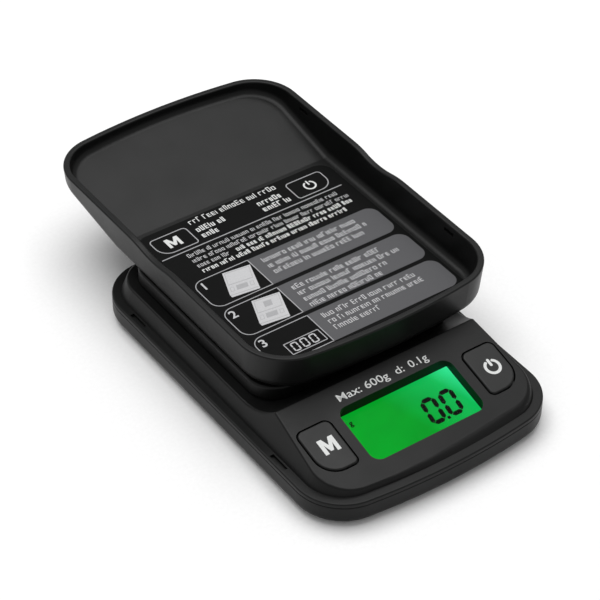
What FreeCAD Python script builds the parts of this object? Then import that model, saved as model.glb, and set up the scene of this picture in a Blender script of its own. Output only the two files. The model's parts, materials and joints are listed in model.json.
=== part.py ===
"""Digital gram scale with its loose cover turned over on the platform as a tray.

Millimetres, +Z up. The origin is on the surface that the feet stand on, below the middle of the case.
The display end faces -Y. Pieces below the control panel are drawn in the panel's own tilted frame,
where z = 0 is the panel's surface, and are then set in place.
"""

import FreeCAD, Part
import math
import os
import re

import Sketcher
from FreeCAD import Placement, Rotation, Vector

doc = FreeCAD.newDocument("gram_scale")

DIMENSIONS = {
    # case outline, seen from above
    "case_w": 78.0,
    "case_len": 118.3,
    "case_corner": 14.6,
    "end_bow": 205.0,
    "wall_t": 1.8,
    # levels of the case
    "case_bottom": 0.5,
    "floor_t": 1.5,
    "bottom_edge": 2.5,
    "seam_z": 6.5,
    "ledge_z": 7.9,
    "ledge_w": 2.7,
    "rim_edge": 0.45,
    "seam_edge": 0.3,
    "deck_z": 12.5,
    "deck_t": 0.75,
    "side_draft": 0.37,
    "block_top": 18.5,
    # the hollow ramp that rises from the deck to the ridge, and the control panel that falls from it
    "ramp_y": -12.0,
    "ramp_r": 19.8,
    "ramp_skin": 1.2,
    "panel_slope": 14.2,
    "panel_y": -40.0,
    "panel_z": 13.1,
    "panel_t": 1.4,
    "edge_soft": 0.7,
    "edge_round": 3.0,
    # weighing platform
    "plate_half": 31.6,
    "plate_front": -18.5,
    "plate_back": 50.5,
    "plate_corner": 8.5,
    "plate_under": 13.0,
    "plate_top": 17.3,
    "plate_skin": 1.4,
    "well_gap": 0.9,
    # display stack, in the panel's frame
    "window_half": 18.5,
    "window_front": -9.8,
    "window_back": 8.6,
    "window_corner": 3.0,
    "display_shift": -0.85,
    "collar_end": -3.1,
    "window_t": 0.5,
    "glass_top": -3.75,
    "glass_t": 1.5,
    "board_top": -6.6,
    "board_t": 1.0,
    # keys, in the panel's frame
    "key_in": 21.95,
    "key_out": 32.4,
    "key_front": -7.5,
    "key_back": 7.45,
    "key_gap": 0.4,
    "key_proud": 0.35,
    "stem_end": -4.7,
    "switch_top": -5.2,
    # load cell
    "beam_len": 47.0,
    "beam_w": 12.0,
    "beam_low": 3.2,
    "beam_high": 9.2,
    "beam_y": 16.0,
    "beam_gap": 0.3,
    # cells and their bay
    "cell_r": 5.1,
    "cell_len": 44.5,
    "cell_z": 6.65,
    "cell_y": 37.0,
    "cell_pitch": 11.0,
    "bay_half": 24.6,
    "bay_front": 25.6,
    "bay_back": 48.4,
    "door_t": 0.9,
    # cover, used as a tray
    "tray_x": 5.9,
    "tray_y": 34.5,
    "tray_depth": 11.8,
    "tray_draft": 1.06,
    "tray_wall": 1.95,
    "tray_floor": 1.8,
    "tray_bend": 21.0,
    "tray_rise": 10.6,
    "tray_edge": 3.6,
    "tray_lip": 0.5,
    "notch_deep": 1.2,
    "notch_r": 30.0,
    "label_half": 33.3,
    "label_front": -50.5,
    "label_back": 19.5,
    "label_t": 0.15,
}

sheet = doc.addObject("Spreadsheet::Sheet", "Dims")
for row, (alias, size) in enumerate(DIMENSIONS.items(), start=1):
    sheet.set(f"A{row}", alias)
    sheet.set(f"B{row}", str(size))
    sheet.setAlias(f"B{row}", alias)
doc.recompute()

NODES = []


# ---------------------------------------------------------------- small helpers


def full(expression):
    """Puts the sheet's name before each of its aliases."""
    return re.sub(r"[a-z_]+", lambda m: "Dims." + m[0] if m[0] in DIMENSIONS else m[0], str(expression))


def value(expression):
    return float(sheet.evalExpression(full(expression)))


def bind(obj, path, expression):
    obj.setExpression(path, full(expression))


def node(obj, name):
    """Names a finished piece."""
    obj.Label = name
    NODES.append(obj)
    return obj


def datum(sketch, kind, *args):
    """A dimension of a sketch; the last argument is its expression."""
    index = sketch.addConstraint(Sketcher.Constraint(kind, *args[:-1], value(args[-1])))
    bind(sketch, f"Constraints[{index}]", args[-1])


def free_sketch(name, z="0"):
    sketch = doc.addObject("Sketcher::SketchObject", name)
    bind(sketch, "Placement.Base.z", z)
    return sketch


def side_sketch(name):
    """A sketch on the YZ plane: its x runs along Y and its y along Z."""
    sketch = doc.addObject("Sketcher::SketchObject", name)
    sketch.Placement = Placement(Vector(0, 0, 0), Rotation(Vector(0, 1, 0), Vector(0, 0, 1), Vector(1, 0, 0)))
    return sketch


def arc(centre_x, centre_y, radius, start, end):
    circle = Part.Circle(Vector(centre_x, centre_y, 0), Vector(0, 0, 1), radius)
    return Part.ArcOfCircle(circle, math.radians(start), math.radians(end))


def close_smoothly(sketch, count):
    """Joins each edge of a loop to the next one, with one direction where they meet."""
    for edge in range(count):
        sketch.addConstraint(Sketcher.Constraint("Tangent", edge, 2, (edge + 1) % count, 1))


def rounded_rect(sketch, x_low, x_high, y_low, y_high, radii):
    """A rectangle with round corners; radii are front right, back right, back left, front left."""
    if isinstance(radii, str):
        radii = [radii] * 4
    left, right, front, back = (value(e) for e in (x_low, x_high, y_low, y_high))
    fr, br, bl, fl = (value(e) for e in radii)
    loop = [
        Part.LineSegment(Vector(left + fl, front, 0), Vector(right - fr, front, 0)),
        arc(right - fr, front + fr, fr, -90, 0),
        Part.LineSegment(Vector(right, front + fr, 0), Vector(right, back - br, 0)),
        arc(right - br, back - br, br, 0, 90),
        Part.LineSegment(Vector(right - br, back, 0), Vector(left + bl, back, 0)),
        arc(left + bl, back - bl, bl, 90, 180),
        Part.LineSegment(Vector(left, back - bl, 0), Vector(left, front + fl, 0)),
        arc(left + fl, front + fl, fl, 180, 270),
    ]
    for edge in loop:
        sketch.addGeometry(edge, False)
    close_smoothly(sketch, len(loop))
    for edge, kind in ((0, "Horizontal"), (4, "Horizontal"), (2, "Vertical"), (6, "Vertical")):
        sketch.addConstraint(Sketcher.Constraint(kind, edge))
    for edge, radius in zip((1, 3, 5, 7), radii):
        datum(sketch, "Radius", edge, radius)
    datum(sketch, "DistanceX", -1, 1, 2, 1, x_high)
    datum(sketch, "DistanceX", -1, 1, 6, 1, x_low)
    datum(sketch, "DistanceY", -1, 1, 0, 1, y_low)
    datum(sketch, "DistanceY", -1, 1, 4, 1, y_high)
    return sketch


def case_outline(sketch, inset):
    """The outline shared by the case and its cover: straight sides, bowed ends and round corners."""
    half, end = value(f"case_w/2 - ({inset})"), value(f"case_len/2 - ({inset})")
    corner, bow = value(f"case_corner - ({inset})"), value(f"end_bow - ({inset})")
    corner_x = half - corner
    bow_y = end - bow
    corner_y = bow_y + math.sqrt((bow - corner) ** 2 - corner_x**2)
    turn = math.degrees(math.atan2(corner_y - bow_y, corner_x))
    loop = [
        Part.LineSegment(Vector(half, -corner_y, 0), Vector(half, corner_y, 0)),
        arc(corner_x, corner_y, corner, 0, turn),
        arc(0, bow_y, bow, turn, 180 - turn),
        arc(-corner_x, corner_y, corner, 180 - turn, 180),
        Part.LineSegment(Vector(-half, corner_y, 0), Vector(-half, -corner_y, 0)),
        arc(-corner_x, -corner_y, corner, 180, 180 + turn),
        arc(0, -bow_y, bow, 180 + turn, 360 - turn),
        arc(corner_x, -corner_y, corner, -turn, 0),
    ]
    for edge in loop:
        sketch.addGeometry(edge, False)
    close_smoothly(sketch, len(loop))
    for other in (3, 5, 7):
        sketch.addConstraint(Sketcher.Constraint("Equal", 1, other))
    sketch.addConstraint(Sketcher.Constraint("Equal", 2, 6))
    sketch.addConstraint(Sketcher.Constraint("PointOnObject", 2, 3, -2))
    sketch.addConstraint(Sketcher.Constraint("PointOnObject", 6, 3, -2))
    sketch.addConstraint(Sketcher.Constraint("Symmetric", 0, 1, 0, 2, -1))
    sketch.addConstraint(Sketcher.Constraint("Symmetric", 0, 2, 4, 1, -2))
    datum(sketch, "DistanceX", -1, 1, 0, 1, f"case_w/2 - ({inset})")
    datum(sketch, "Radius", 1, f"case_corner - ({inset})")
    datum(sketch, "Radius", 2, f"end_bow - ({inset})")
    datum(sketch, "DistanceY", 2, 3, -1, 1, "end_bow - case_len/2")
    return sketch


def polygon(sketch, points):
    """A closed outline through points, each a pair of expressions."""
    places = [Vector(value(across), value(up), 0) for across, up in points]
    count = len(places)
    for corner in range(count):
        sketch.addGeometry(Part.LineSegment(places[corner], places[(corner + 1) % count]), False)
    for corner, (across, up) in enumerate(points):
        sketch.addConstraint(Sketcher.Constraint("Coincident", corner, 2, (corner + 1) % count, 1))
        datum(sketch, "DistanceX", -1, 1, corner, 1, across)
        datum(sketch, "DistanceY", -1, 1, corner, 1, up)
    return sketch


def extrude(name, sketch, height, both_ways=False):
    solid = doc.addObject("Part::Extrusion", name)
    solid.Base = sketch
    solid.DirMode = "Normal"
    solid.Solid = True
    solid.Symmetric = both_ways
    bind(solid, "LengthFwd", height)
    return solid


def loft(name, low, high):
    solid = doc.addObject("Part::Loft", name)
    solid.Sections = [low, high]
    solid.Solid = True
    solid.Ruled = True
    return solid


def box(name, across, along, up):
    """A box from three pairs of limits."""
    solid = doc.addObject("Part::Box", name)
    for side, letter, (low, high) in zip(("Length", "Width", "Height"), "xyz", (across, along, up)):
        bind(solid, side, f"({high}) - ({low})")
        bind(solid, f"Placement.Base.{letter}", f"({low})")
    return solid


def cylinder(name, radius, up, at):
    """An upright cylinder between two levels."""
    solid = doc.addObject("Part::Cylinder", name)
    bind(solid, "Radius", radius)
    bind(solid, "Height", f"({up[1]}) - ({up[0]})")
    bind(solid, "Placement.Base.x", at[0])
    bind(solid, "Placement.Base.y", at[1])
    bind(solid, "Placement.Base.z", up[0])
    return solid


def lying_cylinder(name, radius, along, direction, at):
    """A cylinder along X or Y between two limits; at gives its other two coordinates."""
    solid = doc.addObject("Part::Cylinder", name)
    bind(solid, "Radius", radius)
    bind(solid, "Height", f"({along[1]}) - ({along[0]})")
    if direction == "x":
        solid.Placement = Placement(Vector(0, 0, 0), Rotation(Vector(0, 1, 0), 90))
        places = (along[0], at[0], at[1])
    else:
        solid.Placement = Placement(Vector(0, 0, 0), Rotation(Vector(1, 0, 0), -90))
        places = (at[0], along[0], at[1])
    for letter, place in zip("xyz", places):
        bind(solid, f"Placement.Base.{letter}", place)
    return solid


def fuse(name, *solids):
    joined = doc.addObject("Part::MultiFuse", name)
    joined.Shapes = list(solids)
    joined.Refine = True
    return joined


def cut(name, base, *tools):
    result = doc.addObject("Part::Cut", name)
    result.Base = base
    result.Tool = tools[0] if len(tools) == 1 else fuse(f"{name}_tools", *tools)
    return result


def common(name, *solids):
    result = doc.addObject("Part::MultiCommon", name)
    result.Shapes = list(solids)
    return result


def group(name, solids):
    """Identical pieces in one node, each a solid of its own."""
    several = doc.addObject("Part::Compound", name)
    several.Links = solids
    return several


def fillet(name, base, radius, chosen):
    """Rounds the edges of base for which chosen(edge) is true."""
    doc.recompute()
    size = value(radius)
    edges = [(i, size, size) for i, edge in enumerate(base.Shape.Edges, start=1) if chosen(edge)]
    rounded = doc.addObject("Part::Fillet", name)
    rounded.Base = base
    rounded.Edges = edges
    return rounded


def between(low, high):
    """True for an edge that lies wholly between two levels."""
    bottom, top = value(low) - 0.01, value(high) + 0.01
    return lambda edge: edge.BoundBox.ZMin > bottom and edge.BoundBox.ZMax < top


def on_panel(obj):
    """Sets a piece drawn in the panel's frame in its place."""
    obj.Placement = Placement(Vector(0, 0, 0), Rotation(Vector(1, 0, 0), value("panel_slope")))
    bind(obj, "Placement.Base.y", "panel_y")
    bind(obj, "Placement.Base.z", "panel_z")
    bind(obj, "Placement.Rotation.Angle", "panel_slope * 1 deg")
    return obj


def new_body(name):
    return doc.addObject("PartDesign::Body", f"{name}_body")


def body_sketch(body, name, level="0", role="XY_Plane"):
    sketch = body.newObject("Sketcher::SketchObject", name)
    plane = next(f for f in body.Origin.OriginFeatures if f.Role == role)
    sketch.AttachmentSupport = (plane, [""])
    sketch.MapMode = "FlatFace"
    bind(sketch, "AttachmentOffset.Base.z", level)
    return sketch


def pad(body, sketch, length, down=False):
    feature = body.newObject("PartDesign::Pad", f"{sketch.Name}_pad")
    feature.Profile = sketch
    feature.Reversed = down
    bind(feature, "Length", length)
    return feature


def pocket(body, sketch, length, up=False):
    """Cuts away from the sketch; up turns it to cut towards +Z."""
    feature = body.newObject("PartDesign::Pocket", f"{sketch.Name}_pocket")
    feature.Profile = sketch
    feature.Reversed = up
    bind(feature, "Length", length)
    return feature


def body_fillet(body, name, radius, chosen):
    doc.recompute()
    base = body.Tip
    edges = [f"Edge{i}" for i, edge in enumerate(base.Shape.Edges, start=1) if chosen(edge)]
    feature = body.newObject("PartDesign::Fillet", name)
    feature.Base = (base, edges)
    bind(feature, "Radius", radius)
    return feature


# ---------------------------------------------------------------- lower case

CASE_SCREWS = [("30.5", "44"), ("-30.5", "44"), ("28", "-51.3"), ("-28", "-51.3")]
BEAM_SCREWS = [("-21", "beam_y"), ("-15.4", "beam_y")]
CARRIER_SCREWS = [("15.2", "beam_y"), ("20.8", "beam_y")]
FEET = [("31.7", "33"), ("-31.7", "33"), ("30.5", "-41"), ("-30.5", "-41")]
STOP_AT = ("18", "beam_y")
INSIDE_Z = "case_bottom + floor_t"
BOSS_TOP = "seam_z - 0.2"


def make_lower_case():
    outer = extrude("lower_outer", case_outline(free_sketch("lower_outline", "case_bottom"), "0"),
                    "seam_z - case_bottom")
    bottom_round = fillet("lower_bottom", outer, "bottom_edge", between("case_bottom", "case_bottom"))
    rounded = fillet("lower_rounded", bottom_round, "seam_edge", between("seam_z", "seam_z"))
    cavity = extrude("lower_cavity", case_outline(free_sketch("lower_inline", INSIDE_Z), "wall_t"), "seam_z")
    shell = cut("lower_shell", rounded, cavity)
    sunk = f"{INSIDE_Z} - 0.1"
    added = [
        shell,
        box("beam_seat", ("-beam_len/2", "-13"), ("beam_y - 5.5", "beam_y + 5.5"), (sunk, "beam_low")),
        cylinder("stop_boss", "3.5", (sunk, "beam_low - 0.6"), STOP_AT),
        cut("bay_walls",
            box("bay_outside", ("-bay_half - 1", "bay_half + 1"), ("bay_front - 1", "bay_back + 1"),
                (sunk, "11")),
            box("bay_inside", ("-bay_half", "bay_half"), ("bay_front", "bay_back"), ("0", "12"))),
    ]
    removed = [
        box("bay_opening", ("-bay_half + 0.7", "bay_half - 0.7"), ("bay_front + 0.6", "bay_back - 0.6"),
            ("0", "2.2")),
        box("door_recess", ("-bay_half - 0.8", "bay_half + 0.8"), ("bay_front - 1", "bay_back + 1"),
            ("0", "case_bottom + door_t + 0.1")),
        cylinder("stop_bore", "1.5", ("0", "beam_low"), STOP_AT),
    ]
    for i, at in enumerate(CASE_SCREWS):
        added.append(cylinder(f"screw_post_{i}", "2.7", (sunk, BOSS_TOP), at))
        removed.append(cylinder(f"post_bore_{i}", "1.3", ("0", "seam_z"), at))
        removed.append(cylinder(f"post_head_{i}", "2.6", ("0", "2.1"), at))
    for i, at in enumerate(BEAM_SCREWS):
        removed.append(cylinder(f"seat_bore_{i}", "1.35", ("0", "beam_low"), at))
        removed.append(cylinder(f"seat_head_{i}", "2.5", ("0", "1.9"), at))
    for i, at in enumerate(FEET):
        removed.append(cylinder(f"foot_recess_{i}", "4.15", ("0", "case_bottom + 0.4"), at))
    node(cut("lower_case_solid", fuse("lower_built", *added), *removed), "lower_case")


# ---------------------------------------------------------------- upper case


def space_above(name, deck_front, deck_drop, ramp_grow, panel_drop):
    """The space above the deck, the ramp and the control panel, each moved inwards for a cavity."""
    slope = "tan(panel_slope*1deg)"
    low = f"panel_z - {panel_drop}/cos(panel_slope*1deg)"
    profile = polygon(side_sketch(f"{name}_profile"), [
        ("-70", f"{low} - {slope}*(70 + panel_y)"),
        ("-10", f"{low} - {slope}*(10 + panel_y)"),
        ("-10", "40"),
        ("-70", "40"),
    ])
    return fuse(name,
                box(f"{name}_deck", ("-60", "60"), (deck_front, "70"), (f"deck_z - {deck_drop}", "40")),
                lying_cylinder(f"{name}_ramp", f"ramp_r + {ramp_grow}", ("-60", "60"), "x",
                               ("ramp_y", "deck_z + ramp_r")),
                extrude(f"{name}_panel", profile, "120", both_ways=True))


def raised_block(name, inset, low, above):
    """The drafted block inside the ledge, cut down to the deck, the ramp and the panel."""
    foot = case_outline(free_sketch(f"{name}_foot", low), f"ledge_w + {inset}")
    crown = case_outline(free_sketch(f"{name}_crown", "block_top"),
                         f"ledge_w + {inset} + side_draft*(block_top - ({low}))")
    return cut(f"{name}_block", loft(f"{name}_loft", foot, crown), above)


def soften_top(base):
    """Rounds the edges round the top, those beside the panel most where its front corners begin."""
    doc.recompute()
    soft, large = value("edge_soft"), value("edge_round")
    corner_back = value("panel_y")
    corner_front = value("panel_y") - 12.0
    above_rim = value("ledge_z") + 0.3

    def radius_at(point):
        return large if corner_front < point.y < corner_back else soft

    edges = []
    for i, edge in enumerate(base.Shape.Edges, start=1):
        if edge.BoundBox.ZMin > above_rim:
            start, end = edge.valueAt(edge.FirstParameter), edge.valueAt(edge.LastParameter)
            edges.append((i, radius_at(start), radius_at(end)))
    rounded = doc.addObject("Part::Fillet", "outer_rounded")
    rounded.Base = base
    rounded.Edges = edges
    return rounded


def make_upper_case():
    ring = extrude("ring", case_outline(free_sketch("rim_outline", "seam_z"), "0"), "ledge_z - seam_z")
    seam_round = fillet("ring_seam_round", ring, "seam_edge", between("seam_z", "seam_z"))
    rim = fillet("rim", seam_round, "rim_edge", between("ledge_z", "ledge_z"))
    block = raised_block("deck", "0", "ledge_z - 0.001", space_above("outside", "ramp_y", "0", "0", "0"))
    outer = soften_top(fuse("outer", rim, block))
    above_skin = space_above("skin", "plate_front - well_gap - ramp_skin", "deck_t", "ramp_skin", "panel_t")
    cavity = raised_block("cavity", "wall_t - 0.3", "seam_z - 0.01", above_skin)
    shell = cut("upper_shell", outer, cavity)

    well_plan = rounded_rect(free_sketch("well_plan", "deck_z"), "-plate_half - well_gap",
                             "plate_half + well_gap", "plate_front - well_gap", "plate_back + well_gap",
                             "plate_corner + well_gap")
    added = [shell]
    removed = [
        extrude("well", well_plan, "20"),
        box("column_opening", ("10.7", "25.3"), ("beam_y - 7.3", "beam_y + 7.3"),
            ("deck_z - 2", "deck_z + 1")),
    ]
    for side, (x_low, x_high) in {"left": ("-38", "-36.8"), "right": ("36.8", "38")}.items():
        for end, along in {"front": ("-36", "-29.5"), "back": ("32.5", "39")}.items():
            removed.append(box(f"latch_slot_{end}_{side}", (x_low, x_high), along,
                               ("ledge_z - 0.8", "ledge_z + 0.1")))
    for i, (x, y) in enumerate(CASE_SCREWS):
        top = "deck_z - deck_t + 0.1" if value(y) > 0 else "9.2"
        added.append(cylinder(f"upper_post_{i}", "2.4", ("seam_z - 0.1", top), (x, y)))
        removed.append(cylinder(f"upper_bore_{i}", "1.05", ("seam_z - 1", f"{top} - 0.2"), (x, y)))
    for i, (x, y) in enumerate(BOARD_SCREWS):
        post = cylinder_at_rest(f"board_post_{i}", "1.7", "board_top", "-panel_t + 0.2", x, y)
        pilot = cylinder_at_rest(f"board_pilot_{i}", "0.85", "board_top - 1", "-2.2", x, y)
        added.append(on_panel(post))
        removed.append(on_panel(pilot))
    added.append(on_panel(panel_plate("collar", "window_half + 1", f"{DISPLAY_FRONT} - 1", "window_back + 1",
                                      "window_corner + 1", "collar_end", "-0.5 - collar_end")))
    under_skin = panel_plate("under_skin", "30", "-20", "20", "1", "-9", "9 - panel_t - 0.1")
    removed.append(on_panel(window_opening("window_mouth", "window_corner")))
    removed.append(on_panel(common("window_pit", window_opening("window_square", "0.3"), under_skin)))
    for side, name in ((1, "power"), (-1, "mode")):
        outline = key_outline(free_sketch(f"{name}_cut", "0"), side, "key_gap")
        removed.append(on_panel(extrude(f"{name}_opening", outline, "6", both_ways=True)))
    node(cut("upper_case_solid", fuse("upper_built", *added), *removed), "upper_case")


def window_opening(name, corner):
    """The display's opening, drawn in the panel's frame with walls that end up vertical."""
    plan = rounded_rect(free_sketch(f"{name}_plan"), "-window_half", "window_half", "window_front",
                        "window_back", corner)
    opening = extrude(name, plan, "9", both_ways=True)
    slope = math.radians(value("panel_slope"))
    opening.DirMode = "Custom"
    opening.Dir = Vector(0, math.sin(slope), math.cos(slope))
    return opening


def cylinder_at_rest(name, radius, low, high, x, y):
    """A cylinder in the panel's frame, wrapped so that the whole can be tilted."""
    return extrude(name, circle_sketch(f"{name}_circle", radius, x, y, low), f"({high}) - ({low})")


def circle_sketch(name, radius, x, y, level):
    sketch = free_sketch(name, level)
    sketch.addGeometry(Part.Circle(Vector(value(x), value(y), 0), Vector(0, 0, 1), value(radius)), False)
    datum(sketch, "DistanceX", -1, 1, 0, 3, x)
    datum(sketch, "DistanceY", -1, 1, 0, 3, y)
    datum(sketch, "Radius", 0, radius)
    return sketch


def key_outline(sketch, side, grow):
    """A key's outline, larger by grow all round; its outer front corner follows the case's."""
    inner, outer = f"key_in - ({grow})", f"key_out + {grow}"
    far, near, blunt = f"2 + {grow}", f"1.5 + {grow}", f"6 + {grow}"
    front, back = f"key_front - ({grow})", f"key_back + {grow}"
    if side > 0:
        return rounded_rect(sketch, inner, outer, front, back, [blunt, far, far, near])
    return rounded_rect(sketch, f"-({outer})", f"-({inner})", front, back, [near, far, far, blunt])


BOARD_SCREWS = [("20.2", "12.7"), ("-20.2", "12.7"), ("23.5", "-10.3"), ("-23.5", "-10.3")]
DISPLAY_FRONT = "window_front + display_shift"
DISPLAY_BACK = "window_back + display_shift"

# ---------------------------------------------------------------- keys and their switches


def make_key(side, name):
    body = new_body(f"{name}_button")
    cap = body_sketch(body, f"{name}_cap", "-panel_t - 0.1")
    pad(body, key_outline(cap, side, "0"), "panel_t + 0.1 + key_proud")
    body_fillet(body, f"{name}_soft_edge", "0.5", between("key_proud", "key_proud"))
    inner, outer = sorted((side * 21.1, side * 31.0))
    flange = body_sketch(body, f"{name}_flange", "-panel_t - 0.1")
    rounded_rect(flange, f"{inner}", f"{outer}", "key_front - 0.8", "key_back + 0.7", "1")
    pad(body, flange, "0.8", down=True)
    stem = body_sketch(body, f"{name}_stem", "-panel_t - 0.8")
    stem.addGeometry(Part.Circle(Vector(side * 27, 0, 0), Vector(0, 0, 1), 1.5), False)
    datum(stem, "DistanceX", -1, 1, 0, 3, f"{side * 27}")
    datum(stem, "DistanceY", -1, 1, 0, 3, "0")
    datum(stem, "Radius", 0, "1.5")
    pad(body, stem, "-panel_t - 0.8 - stem_end", down=True)
    node(on_panel(body), f"{name}_button")

    x = f"{side * 27}"
    plan = rounded_rect(free_sketch(f"{name}_switch_plan", "board_top"), f"{x} - 3", f"{x} + 3", "-3", "3",
                        "0.4")
    case = extrude(f"{name}_switch_block", plan, "switch_top - board_top")
    well = cylinder_at_rest(f"{name}_well", "1.7", "board_top + 0.1", "switch_top + 1", x, "0")
    node(on_panel(cut(f"{name}_switch_case", case, well)), f"{name}_switch")
    plunger = cylinder_at_rest(f"{name}_plunger_pin", "1.4", "board_top + 0.6", "stem_end", x, "0")
    node(on_panel(plunger), f"{name}_plunger")


# ---------------------------------------------------------------- display and board


def panel_plate(name, x_half, y_low, y_high, corner, low, thickness):
    """A flat plate in the panel's frame."""
    plan = rounded_rect(free_sketch(f"{name}_plan", low), f"-({x_half})", x_half, y_low, y_high, corner)
    return extrude(f"{name}_plate", plan, thickness)


def make_display():
    window = panel_plate("window", "window_half + 0.9", f"{DISPLAY_FRONT} - 0.8", f"{DISPLAY_BACK} + 0.8",
                         "1.5", "collar_end - 0.05 - window_t", "window_t")
    node(on_panel(window), "display_window")
    glass = panel_plate("glass", "window_half + 0.7", f"{DISPLAY_FRONT} - 0.6", f"{DISPLAY_BACK} + 0.6",
                        "0.3", "glass_top - glass_t", "glass_t")
    node(on_panel(glass), "lcd_glass")
    light = panel_plate("light", "17.5", f"{DISPLAY_FRONT} + 1.2", f"{DISPLAY_BACK} - 1.2", "0.5",
                        "board_top + 0.05", "glass_top - glass_t - board_top - 0.1")
    node(on_panel(light), "lcd_backlight")
    frame = cut("frame_ring",
                panel_plate("frame_outer", "window_half + 1.9", f"{DISPLAY_FRONT} - 1.8",
                            f"{DISPLAY_BACK} + 1.8", "0.8", "board_top", "collar_end - 0.1 - board_top"),
                panel_plate("frame_inner", "window_half + 1", f"{DISPLAY_FRONT} - 0.9",
                            f"{DISPLAY_BACK} + 0.9", "0.3", "board_top - 1", "6"))
    node(on_panel(frame), "lcd_frame")
    strips = []
    for end, (low, high) in {"front": (f"{DISPLAY_FRONT} - 0.5", f"{DISPLAY_FRONT} + 0.9"),
                             "back": (f"{DISPLAY_BACK} - 0.9", f"{DISPLAY_BACK} + 0.5")}.items():
        strips.append(panel_plate(f"strip_{end}", "17", low, high, "0.2", "board_top",
                                  "glass_top - glass_t - board_top"))
    node(on_panel(group("strips", strips)), "zebra_strips")


def make_board():
    body = new_body("main_pcb")
    blank = body_sketch(body, "board_blank", "board_top - board_t")
    pad(body, rounded_rect(blank, "-32", "32", "-8", "14.6", "1.5"), "board_t")
    tab = body_sketch(body, "board_tab", "board_top - board_t")
    pad(body, rounded_rect(tab, "-25.2", "25.2", f"{DISPLAY_FRONT} - 1.9", "-7", "1"), "board_t")
    for i, (x, y) in enumerate(BOARD_SCREWS):
        hole = body_sketch(body, f"board_hole_{i}", "board_top")
        hole.addGeometry(Part.Circle(Vector(value(x), value(y), 0), Vector(0, 0, 1), 1.0), False)
        datum(hole, "DistanceX", -1, 1, 0, 3, x)
        datum(hole, "DistanceY", -1, 1, 0, 3, y)
        datum(hole, "Radius", 0, "1")
        pocket(body, hole, "board_t + 0.1")
    node(on_panel(body), "main_pcb")

    screws = []
    under = "board_top - board_t"
    for i, (x, y) in enumerate(BOARD_SCREWS):
        head = cylinder_at_rest(f"board_screw_head_{i}", "1.6", f"{under} - 0.6", under, x, y)
        shank = cylinder_at_rest(f"board_screw_shank_{i}", "0.8", f"{under} - 0.1", "-2.6", x, y)
        screws.append(fuse(f"board_screw_{i}", head, shank))
    node(on_panel(group("board_screws", screws)), "pcb_screws")

    blob = doc.addObject("Part::Cone", "blob")
    for path, expression in (("Radius1", "3.2"), ("Radius2", "5"), ("Height", "0.9"),
                             ("Placement.Base.y", "2"), ("Placement.Base.z", f"{under} - 0.9")):
        bind(blob, path, expression)
    node(on_panel(group("blob_on_board", [blob])), "controller_blob")

    chips = [("adc", -16, 3, 8, 5, 1.3), ("crystal", 12, 6, 6, 2.4, 1.4)]
    chips += [("buzzer_driver", 20, 2, 3, 1.6, 0.9)]
    chips += [(f"capacitor_{i}", -24 + 4 * i, 9.5, 2, 1.2, 0.7) for i in range(5)]
    blocks = []
    for name, x, y, length, width, height in chips:
        blocks.append(box(name, (f"{x - length / 2}", f"{x + length / 2}"),
                          (f"{y - width / 2}", f"{y + width / 2}"), (f"{under} - {height}", under)))
    node(on_panel(group("components", blocks)), "board_components")


# ---------------------------------------------------------------- weighing parts


def make_load_cell():
    mid = "(beam_low + beam_high)/2"
    bar = box("bar", ("-beam_len/2", "beam_len/2"), ("beam_y - beam_w/2", "beam_y + beam_w/2"),
              ("beam_low", "beam_high"))
    across = ("beam_y - beam_w", "beam_y + beam_w")
    removed = [
        lying_cylinder("flex_left", "2.1", across, "y", ("-6", mid)),
        lying_cylinder("flex_right", "2.1", across, "y", ("6", mid)),
        box("flex_slot", ("-6", "6"), across, (f"{mid} - 0.9", f"{mid} + 0.9")),
    ]
    for i, at in enumerate(BEAM_SCREWS):
        removed.append(cylinder(f"tapped_low_{i}", "1.25", ("beam_low - 1", "beam_high - 1.5"), at))
    for i, at in enumerate(CARRIER_SCREWS):
        removed.append(cylinder(f"tapped_high_{i}", "1.25", ("beam_low + 1.5", "beam_high + 1"), at))
    node(cut("beam", bar, *removed), "load_cell")

    gauges = []
    for i, (x, low) in enumerate((x, low) for x in (-6, 6) for low in ("beam_high", "beam_low - 0.15")):
        gauges.append(box(f"gauge_{i}", (f"{x} - 3", f"{x} + 3"), ("beam_y - 1.8", "beam_y + 1.8"),
                          (low, f"{low} + 0.15")))
    node(group("gauges", gauges), "strain_gauges")


def screw_group(name, places, head, shank):
    """Screws of one size; head and shank are (radius, low, high)."""
    screws = []
    for i, at in enumerate(places):
        top = cylinder(f"{name}_head_{i}", head[0], head[1:], at)
        stem = cylinder(f"{name}_shank_{i}", shank[0], shank[1:], at)
        slot = box(f"{name}_slot_{i}", (f"{at[0]} - 0.3", f"{at[0]} + 0.3"),
                   (f"{at[1]} - 1.2", f"{at[1]} + 1.2"), (f"({head[1]}) - 1", f"({head[1]}) + 0.4"))
        screws.append(cut(f"{name}_{i}", fuse(f"{name}_turned_{i}", top, stem), slot))
    return node(group(f"{name}_set", screws), name)


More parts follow.
